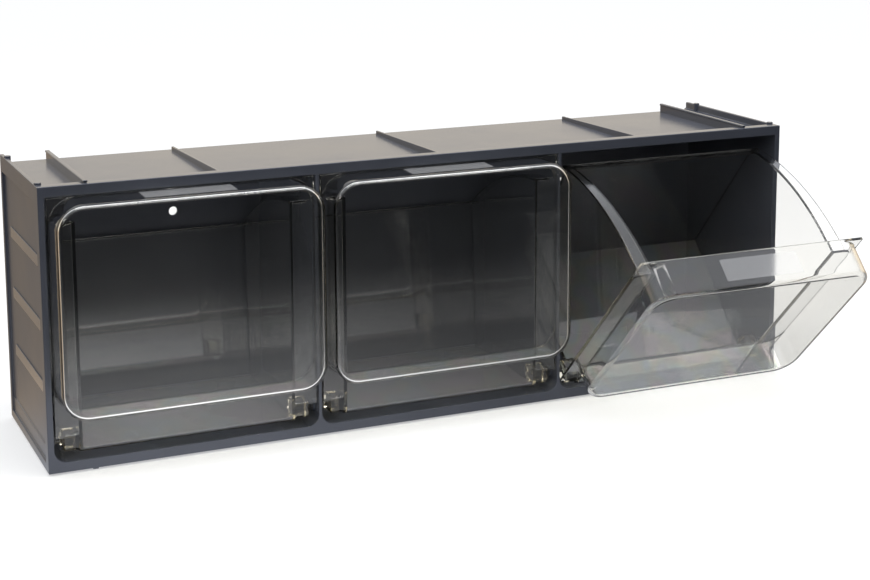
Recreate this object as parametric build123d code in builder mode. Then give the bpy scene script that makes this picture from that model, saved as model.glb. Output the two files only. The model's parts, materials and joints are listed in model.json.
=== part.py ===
from build123d import *
from math import cos, radians, sin, sqrt
import os

os.makedirs("parts", exist_ok=True)

# A wall cabinet of clear tilt-out bins. All sizes are in millimetres.
# The front faces -Y. The origin is the centre of the housing's footprint, on the surface it stands on.

# Housing, outside
housing_width = 600
housing_depth = 139
frame_height = 203.5
frame_depth = 9
foot_drop = 1.5
wall = 2.2
partition = 2.5
side_bar = 4.5
top_bar = 7.5
bottom_bar = 7.4
back_step = 6
rear_band_depth = 5

# Housing, openings
bin_count = 3
opening_corner = 9

# Ribs, bands and studs that lock one housing to the next
long_rib_inset = 33.5
long_rib_thickness = 2
long_rib_proud = 2
long_rib_setback = 2
bead_width = 3.2
bead_height = 1.6
low_rib_spacing = 170
low_rib_count = 3
low_rib_thickness = 2
low_rib_fall = 2.6
rib_back_gap = 3
foot_width = 4
top_band_height = 12.7
bottom_band_height = 5.8
stud_diameter = 5
stud_proud = 1.4
stud_inset = 11

# Low relief on the end walls
strip_heights = (59, 103, 149)
strip_height = 8.2
strip_relief = 1
strip_front_gap = 2
strip_back_gap = 24
skirt_height = 16.5
skirt_relief = 0.7

# Screw holes in the back wall and joining rings on the end walls
wall_hole_spacing = 342
wall_hole_height = 150
wall_hole_diameter = 7
joining_ring_diameter = 13
joining_ring_width = 1.8
joining_ring_relief = 0.8
joining_ring_depth = 101
joining_ring_height = 90

# Hinge
pin_diameter = 5
pin_clearance = 0.07
pin_end_clearance = 0.25
bearing_diameter = 9.5
bearing_height = 2
hinge_setback = 13
open_angle = 45

# Bin
bin_wall = 2
flange_thickness = 2.2
flange_setback = 0.5
flange_side_gap = 1.4
flange_top_gap = 0.9
ear_rise = 4.4
bin_drop = 7.5
bin_nose_radius = 4.5
nose_gap = 0.15
body_inset = 16.8
body_flare = 5
back_gap = 1.8
back_lean = 8
swing_gap = 12.2
cheek_drop = 18
cheek_bow = 10.2
lip_inset = 6.2
lip_thickness = 1.8
back_lip_depth = 4.5
hood_proud = 28.5
hood_draft = 2.5
hood_bottom_rise = 22.5
hood_corner = 20
hood_edge = 1.2
lug_width = 11
lug_front_gap = 1.5
lug_back_reach = 6
lug_rise = 7.5
lug_corner = 4.5

# Pads on the housing floor under the back of each closed bin
pad_gap = 0.3
pad_length = 7
pad_width = 14
pad_spread = 120
pad_back_gap = 13

# Places worked out from the sizes above
front_y = -housing_depth / 2
back_y = housing_depth / 2
frame_bottom = foot_drop
frame_top = frame_bottom + frame_height
floor_top = frame_bottom + bottom_bar
ceiling = frame_top - top_bar
panel_top = ceiling + wall
panel_bottom = floor_top - wall
inner_half = housing_width / 2 - side_bar
side_face = inner_half + wall
back_wall_rear = back_y - back_step
back_wall_front = back_wall_rear - wall
opening_width = (2 * inner_half - (bin_count - 1) * partition) / bin_count
opening_height = ceiling - floor_top
bin_pitch = opening_width + partition
bin_centres = [(i - (bin_count - 1) / 2) * bin_pitch for i in range(bin_count)]
hinge_y = front_y + hinge_setback

# The hinge stands as high as the rounded nose of the open bin reaches down, and a gap more
turn_sin = sin(radians(open_angle))
turn_cos = cos(radians(open_angle))
nose_ahead = hinge_setback - flange_setback - bin_nose_radius
nose_below = bin_drop - bin_nose_radius
nose_reach = nose_ahead * turn_sin + nose_below * turn_cos + bin_nose_radius
hinge_z = floor_top + nose_reach + nose_gap

# Places in the bin's own frame: its origin is on the hinge axis, at the middle of the bin
flange_half = opening_width / 2 - flange_side_gap
flange_front = flange_setback - hinge_setback
flange_back = flange_front + flange_thickness
flange_top = ceiling - flange_top_gap - hinge_z
bin_bottom = -bin_drop
body_half_front = flange_half - body_inset
body_half_back = body_half_front + body_flare
body_back = back_wall_front - back_gap - hinge_y
body_back_low = body_back - back_lean
swing_radius = ceiling - swing_gap - hinge_z
back_top = sqrt(swing_radius**2 - body_back**2)
cheek_top = ceiling - cheek_drop - hinge_z
lip_half = flange_half - lip_inset
hood_front = flange_front - hood_proud
pin_end = opening_width / 2 + partition / 2 - pin_end_clearance


def block(x_from, x_to, y_from, y_to, z_from, z_to, mode=Mode.ADD):
    # A box between two corners
    middle = ((x_from + x_to) / 2, (y_from + y_to) / 2, (z_from + z_to) / 2)
    with Locations(middle):
        Box(x_to - x_from, y_to - y_from, z_to - z_from, mode=mode)


def rod(x_from, x_to, y, z, radius, mode=Mode.ADD):
    # A cylinder along X
    with Locations(Location(((x_from + x_to) / 2, y, z), (0, 90, 0))):
        Cylinder(radius, x_to - x_from, mode=mode)


def compartment(centre):
    # An opening with square top corners and round bottom corners, seen from the front
    with BuildSketch(Plane.XZ.offset(-front_y)) as opening:
        with Locations((centre, (floor_top + ceiling) / 2)):
            Rectangle(opening_width, opening_height)
        low_corners = opening.vertices().group_by(Axis.Y)[0]
        fillet(low_corners, opening_corner)
    extrude(opening.sketch, amount=-(back_wall_front - front_y), mode=Mode.SUBTRACT)


def cheek_curve(drop):
    # The curved top edge of a bin's side wall, from the flange to the back wall
    start = (flange_back, cheek_top - drop)
    end = (body_back, back_top - drop)
    chord = sqrt((end[0] - start[0]) ** 2 + (end[1] - start[1]) ** 2)
    across = ((start[1] - end[1]) / chord, (end[0] - start[0]) / chord)
    middle_y = (start[0] + end[0]) / 2 + cheek_bow * across[0]
    middle_z = (start[1] + end[1]) / 2 + cheek_bow * across[1]
    return start, (middle_y, middle_z), end


def body_plan(inset, bottom, top, mode):
    # The bin's body seen from above, a little wider at the back than at the front
    front = flange_back if inset else flange_front
    with BuildSketch(Plane.XY.offset(bottom)) as plan:
        with BuildLine():
            Polyline(
                (-body_half_front + inset, front),
                (body_half_front - inset, front),
                (body_half_back - inset, body_back - inset),
                (-body_half_back + inset, body_back - inset),
                close=True,
            )
        make_face()
    extrude(plan.sketch, amount=top - bottom, mode=mode)


def body_profile(inset, half_width, mode):
    # The bin's body seen from the side
    start, middle, end = cheek_curve(0)
    low_back = body_back_low - inset
    with BuildSketch(Plane.YZ) as profile:
        with BuildLine():
            low_front = (start[0], bin_bottom + inset)
            Polyline(start, low_front, (low_back, bin_bottom + inset), (end[0] - inset, end[1]))
            if inset:
                over_back = (end[0] - inset, cheek_top + cheek_bow)
                over_front = (start[0], cheek_top + cheek_bow)
                Polyline((end[0] - inset, end[1]), over_back, over_front, start)
            else:
                ThreePointArc(end, middle, start)
        make_face()
    extrude(profile.sketch, amount=half_width, both=True, mode=mode)


def hood_outline(inset):
    # The round-cornered box that stands out from the flange
    half = flange_half - inset
    bottom = hood_bottom_rise + inset
    top = flange_top - inset
    return 2 * half, top - bottom, (top + bottom) / 2, hood_corner - inset


with BuildPart() as housing:
    # Front frame and the tube of walls behind it
    block(-housing_width / 2, housing_width / 2, front_y, front_y + frame_depth, frame_bottom, frame_top)
    block(-side_face, side_face, front_y, back_wall_rear, panel_bottom, panel_top)
    for centre in bin_centres:
        compartment(centre)

    for side in (-1, 1):
        # End wall below the floor and past the back wall, with its bands along the top, bottom and back
        face = side * side_face
        wall_from, wall_to = sorted((side * inner_half, face))
        band_from, band_to = sorted((face, side * housing_width / 2))
        block(wall_from, wall_to, front_y, back_y, frame_bottom, panel_top)
        block(band_from, band_to, front_y, back_y, frame_top - top_band_height, frame_top)
        block(band_from, band_to, front_y, back_y, frame_bottom, frame_bottom + bottom_band_height)
        block(band_from, band_to, back_y - rear_band_depth, back_y, frame_bottom, frame_top)

        # Low relief on the end wall
        strip_from, strip_to = sorted((face, face + side * strip_relief))
        for height in strip_heights:
            middle = frame_bottom + height
            block(
                strip_from,
                strip_to,
                front_y + frame_depth + strip_front_gap,
                back_y - strip_back_gap,
                middle - strip_height / 2,
                middle + strip_height / 2,
            )
        skirt_from, skirt_to = sorted((face, face + side * skirt_relief))
        block(skirt_from, skirt_to, front_y, back_y, frame_bottom, frame_bottom + skirt_height)

        # Long rib on top with its bead, and the foot rib below
        rib_x = side * (housing_width / 2 - long_rib_inset)
        rib_front = front_y + long_rib_setback
        rib_back = back_wall_rear - rib_back_gap
        rib_top = frame_top + long_rib_proud
        rib_half = long_rib_thickness / 2
        block(rib_x - rib_half, rib_x + rib_half, rib_front, rib_back, panel_top - wall / 2, rib_top)
        bead_half = bead_width / 2
        block(rib_x - bead_half, rib_x + bead_half, rib_front, rib_back, rib_top - bead_height, rib_top)
        foot_half = foot_width / 2
        block(rib_x - foot_half, rib_x + foot_half, rib_front, rib_back, 0, panel_bottom + wall / 2)

        # Studs on the inner face of the top band
        stud_x = side * (side_face - stud_diameter / 2 + wall)
        stud_height = frame_top + stud_proud - panel_top
        for stud_y in (front_y + stud_inset, back_wall_rear - stud_inset):
            with Locations((stud_x, stud_y, panel_top + stud_height / 2)):
                Cylinder(stud_diameter / 2, stud_height)

        # Ring on the inner face of the end wall, where two housings are joined side by side
        ring_from, ring_to = sorted((side * inner_half, side * (inner_half - joining_ring_relief)))
        ring_y = front_y + joining_ring_depth
        ring_z = frame_bottom + joining_ring_height
        with BuildSketch(Plane.YZ.offset(ring_from)) as ring:
            with Locations((ring_y, ring_z)):
                Circle(joining_ring_diameter / 2)
                Circle(joining_ring_diameter / 2 - joining_ring_width, mode=Mode.SUBTRACT)
        extrude(ring.sketch, amount=ring_to - ring_from)

    # Low ribs on top, level with the frame in front and falling towards the back
    for i in range(low_rib_count):
        rib_x = (i - (low_rib_count - 1) / 2) * low_rib_spacing
        rib_front = front_y + frame_depth / 2
        rib_back = back_wall_rear - rib_back_gap
        with BuildSketch(Plane.YZ.offset(rib_x - low_rib_thickness / 2)) as low_rib:
            with BuildLine():
                Polyline(
                    (rib_front, panel_top - wall / 2),
                    (rib_back, panel_top - wall / 2),
                    (rib_back, frame_top - low_rib_fall),
                    (rib_front, frame_top),
                    close=True,
                )
            make_face()
        extrude(low_rib.sketch, amount=low_rib_thickness)

    # Bearings: a low boss on each side of every compartment, bored for the hinge pins
    for centre in bin_centres:
        for side in (-1, 1):
            face = centre + side * opening_width / 2
            boss_from, boss_to = sorted((face, face - side * bearing_height))
            rod(boss_from, boss_to, hinge_y, hinge_z, bearing_diameter / 2)
    for centre in bin_centres:
        reach = opening_width / 2 + partition / 2
        bore_radius = pin_diameter / 2 + pin_clearance
        rod(centre - reach, centre + reach, hinge_y, hinge_z, bore_radius, Mode.SUBTRACT)

    # Pads that the closed bins come down on
    pad_top = hinge_z + bin_bottom - pad_gap
    pad_back = back_wall_front - pad_back_gap
    for centre in bin_centres:
        for side in (-1, 1):
            pad_x = centre + side * pad_spread / 2
            block(
                pad_x - pad_width / 2,
                pad_x + pad_width / 2,
                pad_back - pad_length,
                pad_back,
                floor_top - wall / 2,
                pad_top,
            )

    # Screw holes through the back wall
    for side in (-1, 1):
        hole_x = side * wall_hole_spacing / 2
        hole_z = frame_bottom + wall_hole_height
        with Locations(Location((hole_x, back_wall_rear, hole_z), (90, 0, 0))):
            Cylinder(wall_hole_diameter / 2, 2 * wall, mode=Mode.SUBTRACT)

housing.part.label = "housing"
export_step(housing.part, "parts/housing.step")


with BuildPart() as bin_body:
    # Solid body with curved side walls, which carry outward lips
    body_plan(0, bin_bottom, cheek_top + cheek_bow, Mode.ADD)
    body_profile(0, lip_half, Mode.INTERSECT)
    lip_start, lip_middle, lip_end = cheek_curve(0)
    low_start, low_middle, low_end = cheek_curve(lip_thickness)
    with BuildSketch(Plane.YZ) as lip:
        with BuildLine():
            ThreePointArc(lip_start, lip_middle, lip_end)
            Line(lip_end, low_end)
            ThreePointArc(low_end, low_middle, low_start)
            Line(low_start, lip_start)
        make_face()
    extrude(lip.sketch, amount=lip_half, both=True)

with BuildPart() as bin_inside:
    # Space inside the body
    body_plan(bin_wall, bin_bottom, cheek_top + cheek_bow, Mode.ADD)
    body_profile(bin_wall, lip_half, Mode.INTERSECT)

with BuildPart() as clear_bin:
    # Hood
    width, height, middle_z, corner = hood_outline(0)
    with BuildSketch(Plane.XZ.offset(-flange_front)) as hood:
        with Locations((0, middle_z)):
            RectangleRounded(width, height, corner)
    extrude(hood.sketch, amount=hood_proud, taper=hood_draft)
    fillet(clear_bin.faces().sort_by(Axis.Y)[0].edges(), hood_edge)

    # Flange: ears beside the hinge, the plate above them and the body's front wall between them
    block(-flange_half, flange_half, flange_front, flange_back, ear_rise, flange_top)
    block(-body_half_front, body_half_front, flange_front, flange_back, bin_bottom, flange_top)
    add(bin_body.part)
    add(bin_inside.part, mode=Mode.SUBTRACT)

    # Inside of the hood, open to the body between the side walls and above them
    width, height, middle_z, corner = hood_outline(bin_wall)
    with BuildSketch(Plane.XZ.offset(-flange_front)) as hollow:
        with Locations((0, middle_z)):
            RectangleRounded(width, height, corner)
    extrude(hollow.sketch, amount=hood_proud - bin_wall, taper=hood_draft, mode=Mode.SUBTRACT)
    hollow_bottom = hood_bottom_rise + bin_wall
    mouth_half = body_half_front - bin_wall
    block(-mouth_half, mouth_half, flange_front, flange_back, hollow_bottom, cheek_top, Mode.SUBTRACT)
    with BuildSketch(Plane.XZ.offset(-flange_front)) as mouth:
        with Locations((0, middle_z)):
            RectangleRounded(width, height, corner)
        with Locations((0, cheek_top - height / 2)):
            Rectangle(2 * flange_half, height, mode=Mode.SUBTRACT)
    extrude(mouth.sketch, amount=-flange_thickness, mode=Mode.SUBTRACT)

    # Strip along the top of the back wall
    back_lip_front = body_back - back_lip_depth
    block(-lip_half, lip_half, back_lip_front, body_back, back_top - lip_thickness, back_top)

    # Rounded nose that rolls over the housing floor
    bottom_edges = clear_bin.edges().filter_by(Axis.X).group_by(Axis.Z)[0]
    fillet(bottom_edges.sort_by(Axis.Y)[0], bin_nose_radius)

    # Hinge lugs and pins
    for side in (-1, 1):
        lug_inner = body_half_front - bin_wall / 2
        lug_from, lug_to = sorted((side * lug_inner, side * (body_half_front + lug_width)))
        lug_front = flange_front + lug_front_gap
        with BuildSketch(Plane.YZ.offset(lug_from)) as lug:
            with Locations(((lug_front + lug_back_reach) / 2, (bin_bottom + lug_rise) / 2)):
                RectangleRounded(lug_back_reach - lug_front, lug_rise - bin_bottom, lug_corner)
        extrude(lug.sketch, amount=lug_to - lug_from)
        pin_from, pin_to = sorted((side * body_half_front, side * pin_end))
        rod(pin_from, pin_to, 0, 0, pin_diameter / 2)

bin_names = ("bin_left", "bin_middle", "bin_right")
for i, centre in enumerate(bin_centres):
    tilt = open_angle if i == bin_count - 1 else 0
    with BuildPart() as placed_bin:
        with Locations(Location((centre, hinge_y, hinge_z), (tilt, 0, 0))):
            add(clear_bin.part)
    placed_bin.part.label = bin_names[i]
    export_step(placed_bin.part, f"parts/{bin_names[i]}.step")
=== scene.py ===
import bpy
import bmesh
import json
import math
from mathutils import Matrix, Vector


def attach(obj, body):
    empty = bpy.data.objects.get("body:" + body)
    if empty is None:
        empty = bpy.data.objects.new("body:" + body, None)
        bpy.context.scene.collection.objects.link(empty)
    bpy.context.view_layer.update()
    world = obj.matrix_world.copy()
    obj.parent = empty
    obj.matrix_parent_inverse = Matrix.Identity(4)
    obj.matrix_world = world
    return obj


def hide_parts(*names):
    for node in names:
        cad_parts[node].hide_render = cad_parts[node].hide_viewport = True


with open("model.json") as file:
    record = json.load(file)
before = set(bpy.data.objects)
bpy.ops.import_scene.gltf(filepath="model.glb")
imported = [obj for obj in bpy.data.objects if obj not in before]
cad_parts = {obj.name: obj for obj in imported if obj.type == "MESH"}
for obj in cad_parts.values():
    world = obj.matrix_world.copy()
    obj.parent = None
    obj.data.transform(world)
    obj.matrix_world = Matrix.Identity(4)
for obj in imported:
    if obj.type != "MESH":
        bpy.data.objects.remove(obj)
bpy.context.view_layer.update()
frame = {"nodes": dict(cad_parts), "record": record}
print("frame loaded:", ", ".join(sorted(frame["nodes"])))

mm = 0.001


def hexColour(text):  # sRGB hex to linear RGBA
    parts = [int(text[i : i + 2], 16) / 255 for i in (1, 3, 5)]
    return [c / 12.92 if c <= 0.04045 else ((c + 0.055) / 1.055) ** 2.4 for c in parts] + [1.0]


def addNode(tree, kind, settings=None, inputs=None, links=None, stops=()):
    node = tree.nodes.new(kind)
    for name, value in (settings or {}).items():
        setattr(node, name, value)
    for name, value in (inputs or {}).items():
        node.inputs[name].default_value = value
    for name, socket in (links or {}).items():
        tree.links.new(socket, node.inputs[name])
    if stops:  # the places and colours along a colour ramp
        ramp = node.color_ramp.elements
        while len(ramp) < len(stops):
            ramp.new(0.5)
        for stop, (position, colour) in zip(ramp, stops):
            stop.position = position
            stop.color = hexColour(colour)
    return node


# Camera, at the photograph's place
view = {
    "place": (-0.522262, -1.240552, 0.441006),
    "yaw": 0.41526,
    "pitch": -0.16847,
    "roll": -0.00398,
    "lensPixels": 1754.26,  # focal length, in the photograph's pixels
    "framePixels": 870.0,  # the photograph's width
    "horizonShift": -0.1839,
}


def makeCamera():
    data = bpy.data.cameras.new("camera")
    data.lens = view["lensPixels"] / view["framePixels"] * data.sensor_width
    data.shift_y = view["horizonShift"]
    camera = bpy.data.objects.new("camera", data)
    bpy.context.scene.collection.objects.link(camera)
    bpy.context.scene.camera = camera
    yaw, pitch, roll = view["yaw"], view["pitch"], view["roll"]
    ahead = Vector((math.sin(yaw) * math.cos(pitch), math.cos(yaw) * math.cos(pitch), math.sin(pitch)))
    level = Vector((math.cos(yaw), -math.sin(yaw), 0))
    right = Matrix.Rotation(-roll, 3, ahead) @ level
    up = right.cross(ahead)
    turned = Matrix((right, up, -ahead)).transposed()
    camera.matrix_world = Matrix.Translation(view["place"]) @ turned.to_4x4()


# Studio, in metres
studio = {
    "floorSize": 9.0,
    "white": "#ffffff",
    "paper": "#c8c8c6",
    "glow": 0.42,
    "warmWhite": "#fff4e2",
    "coolWhite": "#eef2fb",
    "toneHeights": (0.3, 0.6),  # warm below these parts of a direction's Z, cool over them
    "wallLevels": (0.06, 1.05),  # dim in front of the object, bright behind it
    "wallDepths": (-0.35, 0.2),  # parts of a direction's Y, as those below are of its Z
    "ceilingLevel": 1.3,
    "ceilingHeights": (0.3, 0.65),
}

# Painted reflection: other surfaces see the floor as a glow in place of light, with painted shade at the
# front, painted light behind and a painted pool of light at the left
paintedGlow = {
    "depths": (-0.6, 0.1),  # its tones run between these two places, from front to back
    "tones": ((0.0, "#35373a"), (0.5, "#989a9f"), (0.8, "#a3a5aa"), (1.0, "#c4b098")),
    "poolPlace": (-0.2, -0.17),
    "poolRadius": 0.5,
    "poolLevel": 3.6,
    "poolFall": 2.0,
}

lamps = {
    "overhead": {
        "place": (0.06, -0.4, 1.4),
        "size": (1.24, 0.6),
        "power": 11.0,
        "target": (0.06, -0.2, 0.1),
    },
    "side": {
        "place": (-1.1, -0.9, 0.7),
        "size": (0.25, 0.25),
        "power": 1.5,
        "target": (0, 0, 0.1),
    },
}


def seenWhite(tree):
    # What the camera sees of the studio, directly or through clear plastic, is white; it lights nothing
    path = addNode(tree, "ShaderNodeLightPath")
    eyes = {0: path.outputs["Is Camera Ray"], 1: path.outputs["Is Transmission Ray"]}
    seen = addNode(tree, "ShaderNodeMath", {"operation": "MAXIMUM"}, links=eyes)
    bounces = {0: path.outputs["Diffuse Depth"], 1: path.outputs["Glossy Depth"]}
    turns = addNode(tree, "ShaderNodeMath", {"operation": "ADD"}, links=bounces)
    straight = addNode(tree, "ShaderNodeMath", {"operation": "LESS_THAN"}, {1: 0.5}, {0: turns.outputs[0]})
    both = {0: seen.outputs[0], 1: straight.outputs[0]}
    return addNode(tree, "ShaderNodeMath", {"operation": "MULTIPLY"}, links=both).outputs[0]


def makeWorld():
    # Dim at the front, bright behind and above
    world = bpy.data.worlds.new("studio")
    bpy.context.scene.world = world
    world.use_nodes = True
    tree = world.node_tree
    tree.nodes.clear()
    place = addNode(tree, "ShaderNodeTexCoord")
    split = addNode(tree, "ShaderNodeSeparateXYZ", links={"Vector": place.outputs["Generated"]})
    smooth = {"interpolation_type": "SMOOTHSTEP"}
    near, far = studio["wallDepths"]
    dim, bright = studio["wallLevels"]
    rising = {"From Min": near, "From Max": far, "To Min": dim, "To Max": bright}
    wall = addNode(tree, "ShaderNodeMapRange", smooth, rising, {"Value": split.outputs["Y"]})
    low, high = studio["ceilingHeights"]
    rising = {"From Min": low, "From Max": high, "To Max": studio["ceilingLevel"]}
    above = addNode(tree, "ShaderNodeMapRange", smooth, rising, {"Value": split.outputs["Z"]})
    brighter = {0: wall.outputs[0], 1: above.outputs[0]}
    level = addNode(tree, "ShaderNodeMath", {"operation": "MAXIMUM"}, links=brighter)
    tones = tuple(zip(studio["toneHeights"], (studio["warmWhite"], studio["coolWhite"])))
    tone = addNode(tree, "ShaderNodeValToRGB", links={"Fac": split.outputs["Z"]}, stops=tones)
    glow = {"Color": tone.outputs["Color"], "Strength": level.outputs[0]}
    light = addNode(tree, "ShaderNodeBackground", links=glow)
    plain = {"Color": hexColour(studio["white"]), "Strength": 1.0}
    white = addNode(tree, "ShaderNodeBackground", inputs=plain)
    choice = {0: seenWhite(tree), 1: light.outputs[0], 2: white.outputs[0]}
    mix = addNode(tree, "ShaderNodeMixShader", links=choice)
    addNode(tree, "ShaderNodeOutputWorld", links={"Surface": mix.outputs[0]})


def startMaterial(name):
    material = bpy.data.materials.new(name)
    material.use_nodes = True
    material.node_tree.nodes.clear()
    return material, material.node_tree


def paintedReflection(tree):
    # A painted reflection: what the object mirrors of the floor glows in place of light; light near it, a
    # painted pool of light brightest at the left, painted shade in front
    place = addNode(tree, "ShaderNodeTexCoord")
    split = addNode(tree, "ShaderNodeSeparateXYZ", links={"Vector": place.outputs["Object"]})
    near, far = paintedGlow["depths"]
    ends = {"From Min": near, "From Max": far}
    depth = addNode(tree, "ShaderNodeMapRange", inputs=ends, links={"Value": split.outputs["Y"]})
    # Painted shade at the front, fading to painted light at the back
    tone = addNode(tree, "ShaderNodeValToRGB", links={"Fac": depth.outputs[0]}, stops=paintedGlow["tones"])
    away = addNode(
        tree,
        "ShaderNodeVectorMath",
        {"operation": "DISTANCE"},
        {1: (*paintedGlow["poolPlace"], 0)},
        {0: place.outputs["Object"]},
    )
    falling = {"From Max": paintedGlow["poolRadius"], "To Min": 1.0, "To Max": 0.0}
    fall = addNode(tree, "ShaderNodeMapRange", inputs=falling, links={"Value": away.outputs["Value"]})
    steepness = {1: paintedGlow["poolFall"]}
    pool = addNode(tree, "ShaderNodeMath", {"operation": "POWER"}, steepness, {0: fall.outputs[0]})
    gain = {1: paintedGlow["poolLevel"], 2: 1.0}
    level = addNode(tree, "ShaderNodeMath", {"operation": "MULTIPLY_ADD"}, gain, {0: pool.outputs[0]})
    # The floor glows with this painted light for the rays that reach it from the object
    lit = {"Color": tone.outputs["Color"], "Strength": level.outputs[0]}
    return addNode(tree, "ShaderNodeEmission", links=lit).outputs[0]


def paperFloor():
    # Matt white paper with a little light of its own, so that it stays white and still takes the shadow
    material, tree = startMaterial("paperFloor")
    paper = addNode(tree, "ShaderNodeBsdfDiffuse", inputs={"Color": hexColour(studio["paper"])})
    light = {"Color": hexColour(studio["white"]), "Strength": studio["glow"]}
    glow = addNode(tree, "ShaderNodeEmission", inputs=light)
    both = addNode(tree, "ShaderNodeAddShader", links={0: paper.outputs[0], 1: glow.outputs[0]})
    # Rays other than the camera's see the painted reflection, not the paper
    choice = {0: seenWhite(tree), 1: paintedReflection(tree), 2: both.outputs[0]}
    mix = addNode(tree, "ShaderNodeMixShader", links=choice)
    addNode(tree, "ShaderNodeOutputMaterial", links={"Surface": mix.outputs[0]})
    return material


def makeFloor():
    half = studio["floorSize"] / 2
    corners = [(-half, -half, 0), (half, -half, 0), (half, half, 0), (-half, half, 0)]
    mesh = bpy.data.meshes.new("floor")
    mesh.from_pydata(corners, [], [(0, 1, 2, 3)])
    mesh.materials.append(paperFloor())
    floor = bpy.data.objects.new("floor", mesh)
    bpy.context.scene.collection.objects.link(floor)


def makeLamp(name, place, size, power, target):
    data = bpy.data.lights.new(name, "AREA")
    data.shape = "RECTANGLE"
    data.size, data.size_y = size
    data.energy = power
    lamp = bpy.data.objects.new(name, data)
    lamp.location = place
    lamp.rotation_euler = (Vector(target) - Vector(place)).to_track_quat("-Z", "Y").to_euler()
    bpy.context.scene.collection.objects.link(lamp)


makeCamera()
makeWorld()
makeFloor()
for name, lamp in lamps.items():
    makeLamp(name, **lamp)
bpy.context.scene.view_settings.view_transform = "Standard"
print("studio ready")


# Finishes
moulded = {
    "index": 1.5,
    "colours": ("#42454d", "#494c55"),
    "roughness": (0.17, 0.24),
    "erodedRoughness": 0.2,  # added on the end walls
    "clouds": {"Scale": 14.0, "Detail": 4.0, "Roughness": 0.55},  # flow marks of about 70 mm
    "cloudRange": (0.3, 0.7),
    "grain": {"Scale": 900.0, "Detail": 3.0, "Roughness": 0.6},  # 1.1 mm; the real 0.1 mm would not show
    "grainHeight": 0.04,
    "grainStrength": 0.1,
}


def mouldedPolystyrene():
    # Injection-moulded polystyrene: satin, with a soft grey sheen at flat angles; the outer end walls come
    # from spark-eroded steel and are duller than the rest
    material, tree = startMaterial("mouldedPolystyrene")
    place = addNode(tree, "ShaderNodeTexCoord")
    where = {"Vector": place.outputs["Object"]}
    grain = addNode(tree, "ShaderNodeTexNoise", inputs=moulded["grain"], links=where)
    cloud = addNode(tree, "ShaderNodeTexNoise", inputs=moulded["clouds"], links=where)
    low, high = moulded["cloudRange"]
    smoothest, roughest = moulded["roughness"]
    satin = addNode(
        tree,
        "ShaderNodeMapRange",
        inputs={"From Min": low, "From Max": high, "To Min": smoothest, "To Max": roughest},
        links={"Value": cloud.outputs["Fac"]},
    )
    dull = addNode(tree, "ShaderNodeAttribute", {"attribute_name": "eroded"})
    rough = addNode(
        tree,
        "ShaderNodeMath",
        {"operation": "MULTIPLY_ADD"},
        {1: moulded["erodedRoughness"]},
        {0: dull.outputs["Fac"], 2: satin.outputs[0]},
    )
    height = {"Strength": moulded["grainStrength"], "Distance": moulded["grainHeight"] * mm}
    bump = addNode(tree, "ShaderNodeBump", inputs=height, links={"Height": grain.outputs["Fac"]})
    shades = tuple(zip(moulded["cloudRange"], moulded["colours"]))
    shade = addNode(tree, "ShaderNodeValToRGB", links={"Fac": cloud.outputs["Fac"]}, stops=shades)
    body = addNode(
        tree,
        "ShaderNodeBsdfPrincipled",
        inputs={"IOR": moulded["index"]},
        links={
            "Base Color": shade.outputs["Color"],
            "Roughness": rough.outputs[0],
            "Normal": bump.outputs[0],
        },
    )
    addNode(tree, "ShaderNodeOutputMaterial", links={"Surface": body.outputs[0]})
    return material


crystal = {
    "index": 1.57,
    "mattRoughness": 0.12,
    "mattWear": 2.5,  # the matt field clouds the plastic this much more than the scuffs do
    "clarity": (1.0, 0.93),
    "stress": {"Scale": 33.0, "Detail": 1.0, "Distortion": 0.6},  # clouds of about 30 mm
    "stressHues": (
        (0.0, "#ffffff"),
        (0.36, "#f6f3fd"),
        (0.43, "#e7f3fb"),
        (0.49, "#ebf8ea"),
        (0.55, "#fbf5e2"),
        (0.62, "#faeaf0"),
    ),
    "shadow": "#f4f5f6",
    "straw": "#ebe2c2",
    "strawDensity": 60.0,
}


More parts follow.
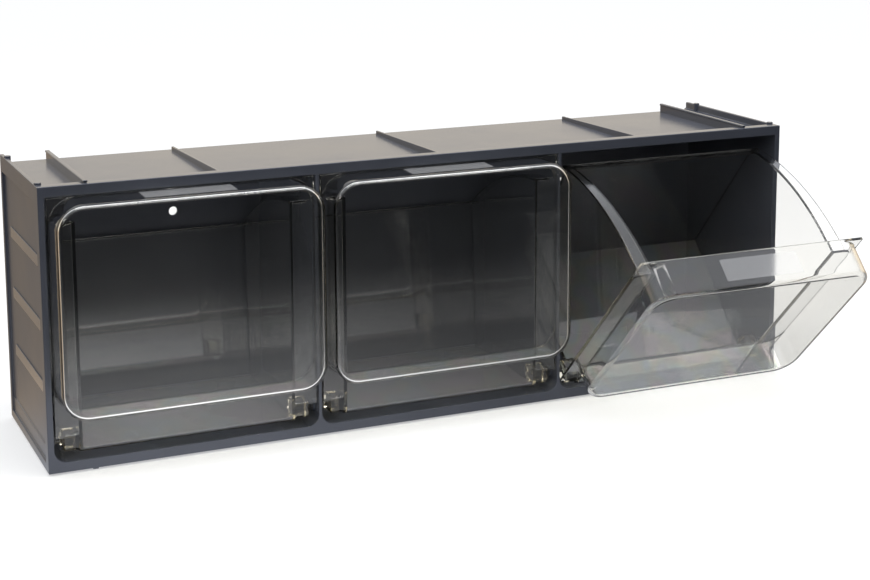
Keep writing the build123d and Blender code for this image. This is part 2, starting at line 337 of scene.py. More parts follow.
def crystalPolystyrene():
    # Clear polystyrene from a polished mould: sharp reflections, and a straw tint where the eye looks
    # along a wall
    material, tree = startMaterial("crystalPolystyrene")
    # Two attributes mark the field that the mould leaves matt, and the floors that stored parts have scuffed
    matt = addNode(tree, "ShaderNodeAttribute", {"attribute_name": "mattField"})
    dulling = {1: crystal["mattRoughness"]}
    rough = addNode(tree, "ShaderNodeMath", {"operation": "MULTIPLY"}, dulling, {0: matt.outputs["Fac"]})
    scuffed = addNode(tree, "ShaderNodeAttribute", {"attribute_name": "scuffed"})
    worn = addNode(
        tree,
        "ShaderNodeMath",
        {"operation": "MULTIPLY_ADD"},
        {1: crystal["mattWear"]},
        {0: matt.outputs["Fac"], 2: scuffed.outputs["Fac"]},
    )
    new, used = crystal["clarity"]
    fading = {"To Min": new, "To Max": used}
    clarity = addNode(tree, "ShaderNodeMapRange", {"clamp": False}, fading, {"Value": worn.outputs[0]})
    # Stress left by moulding shows as pale rainbow clouds, in the floors only
    place = addNode(tree, "ShaderNodeTexCoord")
    where = {"Vector": place.outputs["Object"]}
    stress = addNode(tree, "ShaderNodeTexNoise", inputs=crystal["stress"], links=where)
    floors = {0: stress.outputs["Fac"], 1: scuffed.outputs["Fac"]}
    held = addNode(tree, "ShaderNodeMath", {"operation": "MULTIPLY"}, links=floors)
    hue = addNode(tree, "ShaderNodeValToRGB", links={"Fac": held.outputs[0]}, stops=crystal["stressHues"])
    body = addNode(
        tree,
        "ShaderNodeBsdfPrincipled",
        inputs={"IOR": crystal["index"]},
        links={
            "Base Color": hue.outputs["Color"],
            "Roughness": rough.outputs[0],
            "Transmission Weight": clarity.outputs[0],
        },
    )
    # Shadow rays go straight through, so that the bins don't darken what stands behind them
    clear = addNode(tree, "ShaderNodeBsdfTransparent", inputs={"Color": hexColour(crystal["shadow"])})
    path = addNode(tree, "ShaderNodeLightPath")
    choice = {0: path.outputs["Is Shadow Ray"], 1: body.outputs[0], 2: clear.outputs[0]}
    mix = addNode(tree, "ShaderNodeMixShader", links=choice)
    straw = {"Color": hexColour(crystal["straw"]), "Density": crystal["strawDensity"]}
    tint = addNode(tree, "ShaderNodeVolumeAbsorption", inputs=straw)
    ends = {"Surface": mix.outputs[0], "Volume": tint.outputs[0]}
    addNode(tree, "ShaderNodeOutputMaterial", links=ends)
    return material


housingPlastic = mouldedPolystyrene()
clearPlastic = crystalPolystyrene()
print("finishes ready")


# Shapes, in millimetres and degrees
circleSteps = 40
overlap = 1  # how far joined blocks run into each other, and cutting ones past what they cut
facing = 0.9  # a face looks along an axis where its normal has more than this of it
sideways = 0.5  # and across it where it has less than this

cleaning = {"distance": 0.003, "straight": 0.05}
rounding = {"segments": 2, "leastAngle": 30, "sharpAngle": 50, "weight": 100}


def makePiece(name, mesh):
    piece = bpy.data.objects.new(name, mesh)
    bpy.context.scene.collection.objects.link(piece)
    return piece


def solid(rings):
    # A closed solid through rings of points, with a flat cap at each end
    points = [Vector(point) * mm for ring in rings for point in ring]
    count = len(rings[0])
    faces = [list(range(count)), list(range(len(points) - count, len(points)))]
    for level in range(len(rings) - 1):
        for i in range(count):
            here, following = level * count + i, level * count + (i + 1) % count
            faces.append([here, following, following + count, here + count])
    mesh = bpy.data.meshes.new("solid")
    mesh.from_pydata(points, [], faces)
    work = bmesh.new()
    work.from_mesh(mesh)
    bmesh.ops.recalc_face_normals(work, faces=work.faces)
    work.to_mesh(mesh)
    work.free()
    return makePiece("solid", mesh)


def block(xFrom, xTo, yFrom, yTo, zFrom, zTo):
    section = [(yFrom, zFrom), (yTo, zFrom), (yTo, zTo), (yFrom, zTo)]
    return solid([[(x, y, z) for y, z in section] for x in (xFrom, xTo)])


def arc(across, up, radius, start, end, steps):
    turns = [math.radians(start + (end - start) * i / steps) for i in range(steps + 1)]
    return [(across + radius * math.cos(turn), up + radius * math.sin(turn)) for turn in turns]


def circle(across, up, radius):
    # The last point lies a step before the first
    return arc(across, up, radius, 0, 360 - 360 / circleSteps, circleSteps - 1)


def rod(xFrom, xTo, y, z, radius, chamfer=0):
    # A cylinder along X, with its far end turned down by a chamfer
    inward = math.copysign(chamfer, xTo - xFrom)
    stations = [(xFrom, radius), (xTo, radius - chamfer)]
    if chamfer:
        stations.insert(1, (xTo - inward, radius))
    return solid([[(x, y + r * a, z + r * b) for a, b in circle(0, 0, 1)] for x, r in stations])


def roundedOutline(half, bottom, top, corner, steps, marks=()):
    # Round a rectangle with round corners; marks are more places along its top
    points = []
    for side, height, start in ((1, bottom, -90), (1, top, 0), (-1, top, 90), (-1, bottom, 180)):
        inward = corner if height == bottom else -corner
        points += arc(side * (half - corner), height + inward, corner, start, start + 90, steps)
        if start == 0:
            points += [(mark, top) for mark in marks]
    return points


def curveThrough(start, middle, end, steps):
    # Points on the circle through three places
    (a, b), (c, d), (e, f) = start, middle, end
    twice = 2 * (a * (d - f) + c * (f - b) + e * (b - d))
    x = ((a * a + b * b) * (d - f) + (c * c + d * d) * (f - b) + (e * e + f * f) * (b - d)) / twice
    y = ((a * a + b * b) * (e - c) + (c * c + d * d) * (a - e) + (e * e + f * f) * (c - a)) / twice
    radius = math.dist((x, y), start)
    turns = [math.degrees(math.atan2(q - y, p - x)) for p, q in (start, end)]
    return arc(x, y, radius, turns[0], turns[1], steps)


def combine(base, operation, *tools):
    for tool in tools:
        modifier = base.modifiers.new("combine", "BOOLEAN")
        modifier.operation = operation
        modifier.solver = "EXACT"
        modifier.object = tool
    graph = bpy.context.evaluated_depsgraph_get()
    mesh = bpy.data.meshes.new_from_object(base.evaluated_get(graph))
    base.modifiers.clear()
    base.data = mesh
    for tool in tools:
        bpy.data.objects.remove(tool)
    return base


def tidyMesh(mesh):
    work = bmesh.new()
    work.from_mesh(mesh)
    bmesh.ops.remove_doubles(work, verts=work.verts, dist=cleaning["distance"] * mm)
    bmesh.ops.dissolve_degenerate(work, edges=work.edges, dist=cleaning["distance"] * mm)
    # Points left in the middle of straight edges go
    straight = math.radians(cleaning["straight"])
    spare = [v for v in work.verts if len(v.link_edges) == 2 and v.calc_edge_angle(1) < straight]
    bmesh.ops.dissolve_verts(work, verts=spare)
    work.to_mesh(mesh)
    work.free()


def roundEdges(piece, edge):
    bevel = piece.modifiers.new("edges", "BEVEL")
    bevel.width = edge * mm
    bevel.segments = rounding["segments"]
    bevel.limit_method = "ANGLE"
    bevel.angle_limit = math.radians(rounding["leastAngle"])
    bevel.use_clamp_overlap = False
    bevel.miter_outer = "MITER_ARC"


def keepFlat(piece, sharp=False):
    # Normals that keep the wide faces flat between their rounded edges
    normals = piece.modifiers.new("normals", "WEIGHTED_NORMAL")
    normals.weight = rounding["weight"]
    normals.keep_sharp = sharp


def soften(piece, edge):
    piece.data.shade_smooth()
    roundEdges(piece, edge)
    keepFlat(piece)


def finishPiece(piece, node):
    record = frame["record"]
    body = next(name for name, members in record["behaviour"]["bodies"].items() if node in members)
    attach(piece, body)
    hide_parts(node)
    print("piece", piece.name)


# Housing: one moulding with a front frame, three compartments and end walls that stand past the back wall
housing = {
    "width": 600,
    "depth": 139,
    "frameHeight": 203.5,
    "frameDepth": 9,
    "wallsSetback": 4,  # the walls start inside the frame
    "footDrop": 1.5,
    "wall": 2.2,
    "partition": 2.5,
    "sideBar": 4.5,
    "topBar": 7.5,
    "bottomBar": 7.4,
    "backStep": 6,
    "rearBand": 5,
    "bins": 3,
    "openingCorner": 9,
    "cornerSteps": 10,
    "topBand": 12.7,
    "bottomBand": 5.8,
    "bandOverlap": 0.6,
    "skirtHeight": 16.5,
    "skirtRelief": 0.7,
    "holeSpacing": 342,
    "holeHeight": 150,
    "holeWidth": 7,
    "holeDullness": 3,  # times that of the end walls
    "holeSlack": 0.5,
    "outerFrom": 1,  # what lies this far past the inside of an end wall is on its outside
    "boreWidth": 5.14,
    "hingeSetback": 13,
    "hingeHeight": 21.328,
    "binDrop": 7.5,  # from the hinge down to a bin's underside
    "edge": 0.55,
}

frontY = -housing["depth"] / 2
backY = housing["depth"] / 2
frameBottom = housing["footDrop"]
frameTop = frameBottom + housing["frameHeight"]
floorTop = frameBottom + housing["bottomBar"]
ceiling = frameTop - housing["topBar"]
panelTop = ceiling + housing["wall"]
panelBottom = floorTop - housing["wall"]
innerHalf = housing["width"] / 2 - housing["sideBar"]
sideFace = innerHalf + housing["wall"]
backWallRear = backY - housing["backStep"]
backWallFront = backWallRear - housing["wall"]
openingWidth = (2 * innerHalf - (housing["bins"] - 1) * housing["partition"]) / housing["bins"]
binStep = openingWidth + housing["partition"]
binCentres = [(i - (housing["bins"] - 1) / 2) * binStep for i in range(housing["bins"])]
wallsFront = frontY + housing["wallsSetback"]
hingeY = frontY + housing["hingeSetback"]
hingeZ = housing["hingeHeight"]
binBottom = -housing["binDrop"]


def compartment(centre):
    half, corner, steps = openingWidth / 2, housing["openingCorner"], housing["cornerSteps"]
    outline = [(half, ceiling), (-half, ceiling)]
    outline += arc(-half + corner, floorTop + corner, corner, 180, 270, steps)
    outline += arc(half - corner, floorTop + corner, corner, 270, 360, steps)
    return solid([[(centre + x, y, z) for x, z in outline] for y in (frontY - overlap, backWallFront)])


def endWall(side):
    # The wall itself, then the bands along its top, bottom and back, and the low relief at its foot
    rear = backY - housing["rearBand"]
    skirtTop = frameBottom + housing["skirtHeight"]
    wall = sorted((side * innerHalf, side * sideFace))
    inner = side * (sideFace - housing["bandOverlap"])
    band = sorted((inner, side * housing["width"] / 2))
    skirt = sorted((inner, side * (sideFace + housing["skirtRelief"])))
    return [
        block(*wall, wallsFront, backY, frameBottom, panelTop),
        block(*band, wallsFront, backY, frameTop - housing["topBand"], frameTop),
        block(*band, wallsFront, backY, frameBottom, frameBottom + housing["bottomBand"]),
        block(*band, rear, backY, frameBottom, frameTop),
        block(*skirt, wallsFront, rear + overlap, frameBottom + overlap, skirtTop),
    ]


def screwHole(side):
    x, z = side * housing["holeSpacing"] / 2, frameBottom + housing["holeHeight"]
    outline = circle(x, z, housing["holeWidth"] / 2)
    ends = (backWallFront - overlap, backWallRear + overlap)
    return solid([[(x, y, z) for x, z in outline] for y in ends])


def markEroded(mesh):
    # The outer end walls and the walls of the screw holes are the dull ones
    reach = housing["holeWidth"] / 2 + housing["holeSlack"]
    eroded = mesh.attributes.new("eroded", "FLOAT", "FACE")
    for face in mesh.polygons:
        x, y, z = face.center / mm
        atEnd = abs(x) > innerHalf + housing["outerFrom"] and abs(face.normal.x) > facing
        inWall = backWallFront < y < backWallRear and abs(face.normal.y) < sideways
        atHole = inWall and abs(z - frameBottom - housing["holeHeight"]) < reach
        eroded.data[face.index].value = float(atEnd) + housing["holeDullness"] * float(atHole)


def makeHousing():
    half = housing["width"] / 2
    shell = block(-half, half, frontY, frontY + housing["frameDepth"], frameBottom, frameTop)
    box = block(-sideFace, sideFace, wallsFront, backWallRear, panelBottom, panelTop)
    combine(shell, "UNION", box, *endWall(-1), *endWall(1))
    reach, bore = binStep / 2, housing["boreWidth"] / 2
    cuts = [compartment(centre) for centre in binCentres]
    cuts += [rod(centre - reach, centre + reach, hingeY, hingeZ, bore) for centre in binCentres]
    combine(shell, "DIFFERENCE", *cuts)
    tidyMesh(shell.data)
    roundEdges(shell, housing["edge"])
    combine(shell, "DIFFERENCE", screwHole(-1), screwHole(1))
    shell.name = "housingShell"
    shell.data.materials.clear()
    shell.data.materials.append(housingPlastic)
    markEroded(shell.data)
    shell.data.shade_smooth()
    shell.data.set_sharp_from_angle(angle=math.radians(rounding["sharpAngle"]))
    keepFlat(shell, sharp=True)
    finishPiece(shell, "housing")


makeHousing()


# Repeated details of the housing, grown by Geometry Nodes on a few points
roundSteps = {"ring": 48, "stud": 32}


def startTree(name, sizes):
    tree = bpy.data.node_groups.new(name, "GeometryNodeTree")
    tree.interface.new_socket("Places", in_out="INPUT", socket_type="NodeSocketGeometry")
    for title, kind in sizes.items():
        tree.interface.new_socket(title, in_out="INPUT", socket_type=kind)
    tree.interface.new_socket("Finish", in_out="INPUT", socket_type="NodeSocketMaterial")
    tree.interface.new_socket("Geometry", in_out="OUTPUT", socket_type="NodeSocketGeometry")
    return tree, addNode(tree, "NodeGroupInput")


def endTree(tree, given, shape):
    points = addNode(tree, "GeometryNodeMeshToPoints", links={"Mesh": given.outputs["Places"]})
    copies = {"Points": points.outputs[0], "Instance": shape}
    placed = addNode(tree, "GeometryNodeInstanceOnPoints", links=copies)
    real = addNode(tree, "GeometryNodeRealizeInstances", links={"Geometry": placed.outputs[0]})
    made = {"Geometry": real.outputs[0], "Material": given.outputs["Finish"]}
    finish = addNode(tree, "GeometryNodeSetMaterial", links=made)
    addNode(tree, "NodeGroupOutput", links={"Geometry": finish.outputs[0]})
    return tree


def blockTree():
    # A block whose top falls towards the back
    tree, given = startTree("blocks", {"Size": "NodeSocketVector", "Fall": "NodeSocketFloat"})
    cube = addNode(tree, "GeometryNodeMeshCube", links={"Size": given.outputs["Size"]})
    place = addNode(tree, "GeometryNodeInputPosition")
    split = addNode(tree, "ShaderNodeSeparateXYZ", links={"Vector": place.outputs[0]})
    over = {"operation": "GREATER_THAN"}
    behind = addNode(tree, "ShaderNodeMath", over, {1: 0.0}, {0: split.outputs["Y"]})
    above = addNode(tree, "ShaderNodeMath", over, {1: 0.0}, {0: split.outputs["Z"]})
    corner = {0: behind.outputs[0], 1: above.outputs[0]}
    both = addNode(tree, "ShaderNodeMath", {"operation": "MULTIPLY"}, links=corner)
    share = {0: both.outputs[0], 1: given.outputs["Fall"]}
    drop = addNode(tree, "ShaderNodeMath", {"operation": "MULTIPLY"}, links=share)
    down = addNode(tree, "ShaderNodeMath", {"operation": "MULTIPLY"}, {1: -1.0}, {0: drop.outputs[0]})
    shift = addNode(tree, "ShaderNodeCombineXYZ", links={"Z": down.outputs[0]})
    moved = {"Geometry": cube.outputs["Mesh"], "Offset": shift.outputs[0]}
    shaped = addNode(tree, "GeometryNodeSetPosition", links=moved)
    return endTree(tree, given, shaped.outputs[0])


def ringTree():
    # A ring along X with a square section
    sizes = {"Radius": "NodeSocketFloat", "Wall": "NodeSocketFloat", "Height": "NodeSocketFloat"}
    tree, given = startTree("rings", sizes)
    path = addNode(
        tree,
        "GeometryNodeCurvePrimitiveCircle",
        inputs={"Resolution": roundSteps["ring"]},
        links={"Radius": given.outputs["Radius"]},
    )
    sides = {"Width": given.outputs["Wall"], "Height": given.outputs["Height"]}
    section = addNode(tree, "GeometryNodeCurvePrimitiveQuadrilateral", links=sides)
    curves = {"Curve": path.outputs[0], "Profile Curve": section.outputs[0]}
    swept = addNode(tree, "GeometryNodeCurveToMesh", links=curves)
    quarter = {"Rotation": (0, math.pi / 2, 0)}
    turned = addNode(tree, "GeometryNodeTransform", inputs=quarter, links={"Geometry": swept.outputs[0]})
    return endTree(tree, given, turned.outputs[0])


def studTree():
    # A round stud, standing up
    tree, given = startTree("studs", {"Radius": "NodeSocketFloat", "Height": "NodeSocketFloat"})
    body = addNode(
        tree,
        "GeometryNodeMeshCylinder",
        inputs={"Vertices": roundSteps["stud"]},
        links={"Radius": given.outputs["Radius"], "Depth": given.outputs["Height"]},
    )
    return endTree(tree, given, body.outputs["Mesh"])


def growPiece(name, tree, places, values, edge):
    mesh = bpy.data.meshes.new(name)
    mesh.from_pydata([Vector(place) * mm for place in places], [], [])
    piece = makePiece(name, mesh)
    modifier = piece.modifiers.new("grow", "NODES")
    modifier.node_group = tree
    sockets = {item.name: item.identifier for item in tree.interface.items_tree if item.in_out == "INPUT"}
    for title, value in {**values, "Finish": housingPlastic}.items():
        modifier[sockets[title]] = value
    graph = bpy.context.evaluated_depsgraph_get()
    grown = bpy.data.meshes.new_from_object(piece.evaluated_get(graph))
    piece.modifiers.clear()
    piece.data = grown
    work = bmesh.new()
    work.from_mesh(grown)
    bmesh.ops.recalc_face_normals(work, faces=work.faces)
    work.to_mesh(grown)
    work.free()
    soften(piece, edge)
    finishPiece(piece, "housing")


blocks = blockTree()


def growBlocks(name, boxes, edge, fall=0):
    # Boxes of one size, each given by its spans along X, Y and Z
    sizes = [tuple(high - low for low, high in box) for box in boxes]
    middles = [tuple((low + high) / 2 for low, high in box) for box in boxes]
    values = {"Size": [side * mm for side in sizes[0]], "Fall": fall * mm}
    growPiece(name, blocks, middles, values, edge)


def span(middle, width):
    return (middle - width / 2, middle + width / 2)


ribs = {
    "backGap": 3,
    "longInset": 33.5,
    "longThickness": 2,
    "longProud": 2,
    "longSetback": 2,
    "beadWidth": 3.2,
    "beadHeight": 1.6,
    "beadCover": 0.3,  # the bead's top over the rib's
    "beadEdge": 0.5,
    "lowSpacing": 170,
    "lowCount": 3,
    "lowThickness": 2,
    "lowFall": 2.6,
    "footWidth": 4,
    "footEdge": 0.4,
    "edge": 0.3,
}

longX = [side * (housing["width"] / 2 - ribs["longInset"]) for side in (-1, 1)]
longTop = frameTop + ribs["longProud"]
lowX = [(i - (ribs["lowCount"] - 1) / 2) * ribs["lowSpacing"] for i in range(ribs["lowCount"])]
ribBack = backWallRear - ribs["backGap"]
longSpan = (frontY + ribs["longSetback"], ribBack)
lowSpan = (frontY + housing["frameDepth"] / 2, ribBack)
buried = housing["wall"] / 2  # ribs and feet start halfway into the wall that they stand on

ribHeights = (panelTop - buried, longTop - ribs["beadCover"])
beadHeights = (longTop - ribs["beadHeight"], longTop)
lowHeights = (panelTop - buried, frameTop)
footHeights = (0, panelBottom + buried)
ribBoxes = [(span(x, ribs["longThickness"]), longSpan, ribHeights) for x in longX]
beadBoxes = [(span(x, ribs["beadWidth"]), longSpan, beadHeights) for x in longX]
lowBoxes = [(span(x, ribs["lowThickness"]), lowSpan, lowHeights) for x in lowX]
footBoxes = [(span(x, ribs["footWidth"]), longSpan, footHeights) for x in longX]
growBlocks("longRibs", ribBoxes, ribs["edge"])
growBlocks("ribBeads", beadBoxes, ribs["beadEdge"])
growBlocks("lowRibs", lowBoxes, ribs["edge"], ribs["lowFall"])
growBlocks("feet", footBoxes, ribs["footEdge"])

strips = {
    "heights": (59, 103, 149),
    "height": 8.2,
    "relief": 1,
    "buried": 0.8,
    "frontGap": 2,
    "backGap": 24,
    "edge": 0.3,
}
stripSpan = (frontY + housing["frameDepth"] + strips["frontGap"], backY - strips["backGap"])
stripBoxes = []
for side in (-1, 1):
    reach = sorted((side * (sideFace - strips["buried"]), side * (sideFace + strips["relief"])))
    for height in strips["heights"]:
        stripBoxes.append((reach, stripSpan, span(frameBottom + height, strips["height"])))
growBlocks("endWallStrips", stripBoxes, strips["edge"])

pads = {"length": 7, "width": 14, "spread": 120, "backGap": 13, "binGap": 0.3, "buried": 1, "edge": 0.3}
padBack = backWallFront - pads["backGap"]
padSpan = (padBack - pads["length"], padBack)
padHeights = (floorTop - pads["buried"], hingeZ + binBottom - pads["binGap"])
padX = [centre + side * pads["spread"] / 2 for centre in binCentres for side in (-1, 1)]
growBlocks("floorPads", [(span(x, pads["width"]), padSpan, padHeights) for x in padX], pads["edge"])

rings = ringTree()


def growRings(name, places, outer, inner, height, edge):
    values = {"Radius": (outer + inner) / 2 * mm, "Wall": (outer - inner) * mm, "Height": height * mm}
    growPiece(name, rings, places, values, edge)


# Each bin's pins turn in two bearings
bearings = {"width": 9.5, "height": 2, "buried": 0.4, "edge": 0.25}
bearingOut = openingWidth / 2 - bearings["height"] / 2 + bearings["buried"] / 2
growRings(
    "hingeBearings",
    [(centre + side * bearingOut, hingeY, hingeZ) for centre in binCentres for side in (-1, 1)],
    bearings["width"] / 2,
    housing["boreWidth"] / 2,
    bearings["height"] + bearings["buried"],
    bearings["edge"],
)

# Rings on the inner faces of the end walls, where modules in a row are joined
joining = {"width": 13, "wall": 1.8, "relief": 0.8, "buried": 0.4, "depth": 101, "height": 90, "edge": 0.25}
joiningOut = innerHalf - joining["relief"] / 2 + joining["buried"] / 2
growRings(
    "joiningRings",
    [(side * joiningOut, frontY + joining["depth"], frameBottom + joining["height"]) for side in (-1, 1)],
    joining["width"] / 2,
    joining["width"] / 2 - joining["wall"],
    joining["relief"] + joining["buried"],
    joining["edge"],
)

studs = {"width": 5, "proud": 1.4, "inset": 11, "buried": 0.6, "edge": 0.4}
studHeight = frameTop + studs["proud"] - panelTop
studOut = sideFace - studs["width"] / 2 + housing["wall"]
studY = (frontY + studs["inset"], backWallRear - studs["inset"])
studZ = panelTop + studHeight / 2 - studs["buried"] / 2
growPiece(
    "bandStuds",
    studTree(),
    [(side * studOut, y, studZ) for side in (-1, 1) for y in studY],
    {"Radius": studs["width"] / 2 * mm, "Height": (studHeight + studs["buried"]) * mm},
    studs["edge"],
)


# Clear bins: each is one moulding, made here in its hinge's own frame and then put at its hinge
clearBin = {
    "wall": 2,
    "flangeThickness": 2.2,
    "flangeSetback": 0.5,
    "sideGap": 1.4,
    "topGap": 0.9,
    "earRise": 4.4,
    "noseRadius": 4.5,
    "noseSteps": 6,
    "bodyInset": 16.8,
    "bodyFlare": 5,
    "backGap": 1.8,
    "backLean": 8,
    "swingGap": 12.2,  # what the back lip clears the compartment's top by as it swings
    "cheekDrop": 18,
    "cheekBow": 10.2,
    "cheekSteps": 36,
    "lipInset": 6.2,
    "lipThickness": 1.8,
    "backLipDepth": 4.5,
    "hoodProud": 28.5,
    "hoodDraft": 1.5,
    "hoodBottom": 22.5,
    "hoodCorner": 20,
    "cornerSteps": 14,
    "hoodEdge": 3.6,
    "hoodInnerEdge": 2.2,
    "edgeSteps": 5,
    "headroom": 5,  # how far the blocks that hollow the body reach over its side walls
    "lugWidth": 11,
    "lugFrontGap": 1.5,
    "lugBack": 6,
    "lugRise": 7.5,
    "lugLift": 1.1,  # the lug starts this far over the underside, so the two round edges stay apart
    "lugCorner": 4.5,
    "lugSteps": 8,
    "lugEnd": ((1, 0), (0.4, 0.25), (0, 1)),  # distances from its end, and how far it is drawn in there
    "pinWidth": 5,
    "pinGap": 0.25,
    "pinChamfer": 0.5,
    "openAngle": 45,
    "fieldWidth": 66,
    "fieldFront": 21,
    "fieldBack": 3,
    "hoodSlack": 2,  # a face this near to the hood's top or floor, or the body's floor, is part of it
    "bodySlack": 1,
    "edge": 0.45,
}

flangeHalf = openingWidth / 2 - clearBin["sideGap"]
flangeFront = clearBin["flangeSetback"] - housing["hingeSetback"]
flangeBack = flangeFront + clearBin["flangeThickness"]
flangeTop = ceiling - clearBin["topGap"] - hingeZ
bodyHalf = flangeHalf - clearBin["bodyInset"]
bodyBack = backWallFront - clearBin["backGap"] - hingeY
bodyBackLow = bodyBack - clearBin["backLean"]
backTop = math.sqrt((ceiling - clearBin["swingGap"] - hingeZ) ** 2 - bodyBack**2)
cheekTop = ceiling - clearBin["cheekDrop"] - hingeZ
lipHalf = flangeHalf - clearBin["lipInset"]
hoodFront = flangeFront - clearBin["hoodProud"]
hollowBottom = clearBin["hoodBottom"] + clearBin["wall"]
pinEnd = openingWidth / 2 + housing["partition"] / 2 - clearBin["pinGap"]
fieldEnds = (flangeFront - clearBin["fieldBack"], flangeFront - clearBin["fieldFront"])


def cheekCurve(drop):
    # The curved top edge of a side wall, from the flange to the back wall
    start, end = (flangeBack, cheekTop - drop), (bodyBack, backTop - drop)
    chord = math.dist(start, end)
    bow = clearBin["cheekBow"] / chord
    middle = (
        (start[0] + end[0]) / 2 + bow * (start[1] - end[1]),
        (start[1] + end[1]) / 2 + bow * (end[0] - start[0]),
    )
    return curveThrough(start, middle, end, clearBin["cheekSteps"])


def hoodLoft(inset, edge, back, marks=(), stations=()):
    # The round-cornered box of the hood, drawn in a little towards its front
    slope = math.tan(math.radians(clearBin["hoodDraft"]))
    front = hoodFront + inset
    bottom, corner, steps = clearBin["hoodBottom"], clearBin["hoodCorner"], clearBin["cornerSteps"]
    places = [(back, 0)] + [(flangeFront, 0)] + [(y, 0) for y in stations]
    places += [(front + edge - y, edge - x) for x, y in arc(0, 0, edge, 0, 90, clearBin["edgeSteps"])]
    rings = []
    for y, extra in places:
        step = inset + extra + max(0, flangeFront - y) * slope
        half, low, high = flangeHalf - step, bottom + step, flangeTop - step
        outline = roundedOutline(half, low, high, corner - step, steps, marks)
        rings.append([(x, y, z) for x, z in outline])
    return solid(rings)


def tubLoft(inset, over):
    # The body seen from the side, with walls that spread a little towards the back; over is the height that
    # a hollow reaches, or how far the outside stops below the curve of the side walls
    front = flangeBack if inset else flangeFront
    back = bodyBack - inset
    radius = clearBin["noseRadius"] - clearBin["flangeThickness"] if inset else clearBin["noseRadius"]
    bottom = binBottom + inset
    outline = arc(front + radius, bottom + radius, radius, 180, 270, clearBin["noseSteps"])
    outline.append((bodyBackLow - inset, bottom))
    if inset:
        outline += [(back, backTop), (back, over), (front, over)]
    else:
        curve = cheekCurve(over)
        outline += curve[::-1] + [(front, curve[0][1])]
    half = bodyHalf - inset
    spread = clearBin["bodyFlare"] / (back - front)
    return solid([[(side * (half + spread * (y - front)), y, z) for y, z in outline] for side in (-1, 1)])


def cheekLip(side):
    top, low = cheekCurve(0), cheekCurve(clearBin["lipThickness"])
    start = flangeBack - overlap
    outline = [(start, top[0][1])] + top + low[::-1] + [(start, low[0][1])]
    spread = clearBin["bodyFlare"] / (bodyBack - flangeFront)
    half = bodyHalf - clearBin["wall"] / 2
    inner = [(side * (half + spread * (y - flangeFront)), y, z) for y, z in outline]
    return solid([inner, [(side * lipHalf, y, z) for y, z in outline]])


def lug(side):
    # A hinge lug with a rounded end
    end = bodyHalf + clearBin["lugWidth"]
    low, corner, steps = binBottom + clearBin["lugLift"], clearBin["lugCorner"], clearBin["lugSteps"]
    stations = [(bodyHalf - clearBin["wall"] / 2, 0)]
    stations += [(end - gap, inset) for gap, inset in clearBin["lugEnd"]]
    rings = []
    for x, inset in stations:
        front, back = flangeFront + clearBin["lugFrontGap"] + inset, clearBin["lugBack"] - inset
        high = clearBin["lugRise"] - inset
        outline = roundedOutline((back - front) / 2, low + inset, high, corner - inset, steps)
        rings.append([(side * x, y + (back + front) / 2, z) for y, z in outline])
    return solid(rings)


def makeBody():
    # The open tub behind the flange, with a mouth that joins it to the hollow of the hood
    over = cheekTop + clearBin["cheekBow"] + clearBin["headroom"]
    half = bodyHalf - clearBin["wall"]
    tub = tubLoft(0, clearBin["lipThickness"] / 2)
    mouth = block(-half, half, flangeFront - overlap, flangeBack + overlap, hollowBottom, over)
    return combine(tub, "DIFFERENCE", tubLoft(clearBin["wall"], over), mouth)


def flangeFill(side):
    # The flange beside the mouth, put back where the hood's hollow cut it
    near, far = bodyHalf - clearBin["wall"], flangeHalf - clearBin["wall"] + overlap
    bottom = hollowBottom - overlap
    return block(*sorted((side * near, side * far)), flangeFront, flangeBack, bottom, cheekTop)


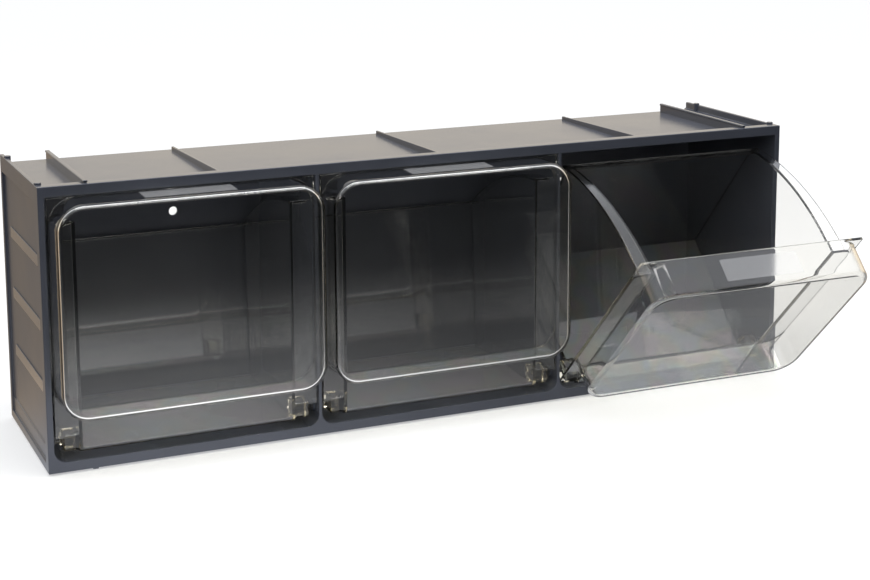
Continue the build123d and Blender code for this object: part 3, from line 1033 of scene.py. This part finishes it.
def markFields(mesh):
    # The blank matt field on top of the hood, and the scuffed floors of the hood and the body
    matt = mesh.attributes.new("mattField", "FLOAT", "FACE")
    scuffed = mesh.attributes.new("scuffed", "FLOAT", "FACE")
    for face in mesh.polygons:
        x, y, z = face.center / mm
        up = face.normal.z > facing
        inside = abs(x) < clearBin["fieldWidth"] / 2 and fieldEnds[1] < y < fieldEnds[0]
        matt.data[face.index].value = float(up and inside and z > flangeTop - clearBin["hoodSlack"])
        hoodFloor = y < flangeFront and abs(z - hollowBottom) < clearBin["hoodSlack"]
        bodyFloor = y > flangeBack and abs(z - binBottom - clearBin["wall"]) < clearBin["bodySlack"]
        scuffed.data[face.index].value = float(up and (hoodFloor or bodyFloor))


def makeBinMesh():
    marks = (clearBin["fieldWidth"] / 2, -clearBin["fieldWidth"] / 2)
    made = block(-flangeHalf, flangeHalf, flangeFront, flangeBack, clearBin["earRise"], flangeTop)
    hood = hoodLoft(0, clearBin["hoodEdge"], flangeFront + overlap, marks, fieldEnds)
    hollow = hoodLoft(clearBin["wall"], clearBin["hoodInnerEdge"], flangeBack + overlap)
    combine(made, "UNION", hood)
    combine(made, "DIFFERENCE", hollow)
    lipFront, lipBottom = bodyBack - clearBin["backLipDepth"], backTop - clearBin["lipThickness"]
    backLip = block(-lipHalf, lipHalf, lipFront, bodyBack, lipBottom, backTop)
    radius, chamfer = clearBin["pinWidth"] / 2, clearBin["pinChamfer"]
    pins = [rod(side * bodyHalf, side * pinEnd, 0, 0, radius, chamfer) for side in (-1, 1)]
    fills = [flangeFill(-1), flangeFill(1)]
    ends = [cheekLip(-1), cheekLip(1), backLip, lug(-1), lug(1)]
    combine(made, "UNION", *fills, makeBody(), *ends, *pins)
    mesh = made.data
    tidyMesh(mesh)
    mesh.materials.clear()
    mesh.materials.append(clearPlastic)
    markFields(mesh)
    bpy.data.objects.remove(made)
    return mesh


def placeBin(node, tilt, centre):
    mesh = binMesh.copy()
    turn = Matrix.Rotation(math.radians(tilt), 4, "X")
    mesh.transform(Matrix.Translation(Vector((centre, hingeY, hingeZ)) * mm) @ turn)
    piece = makePiece("clearBin." + node.removeprefix("bin_"), mesh)
    soften(piece, clearBin["edge"])
    finishPiece(piece, node)


binMesh = makeBinMesh()
tilts = {"bin_left": 0, "bin_middle": 0, "bin_right": clearBin["openAngle"]}
for (node, tilt), centre in zip(tilts.items(), binCentres):
    placeBin(node, tilt, centre)
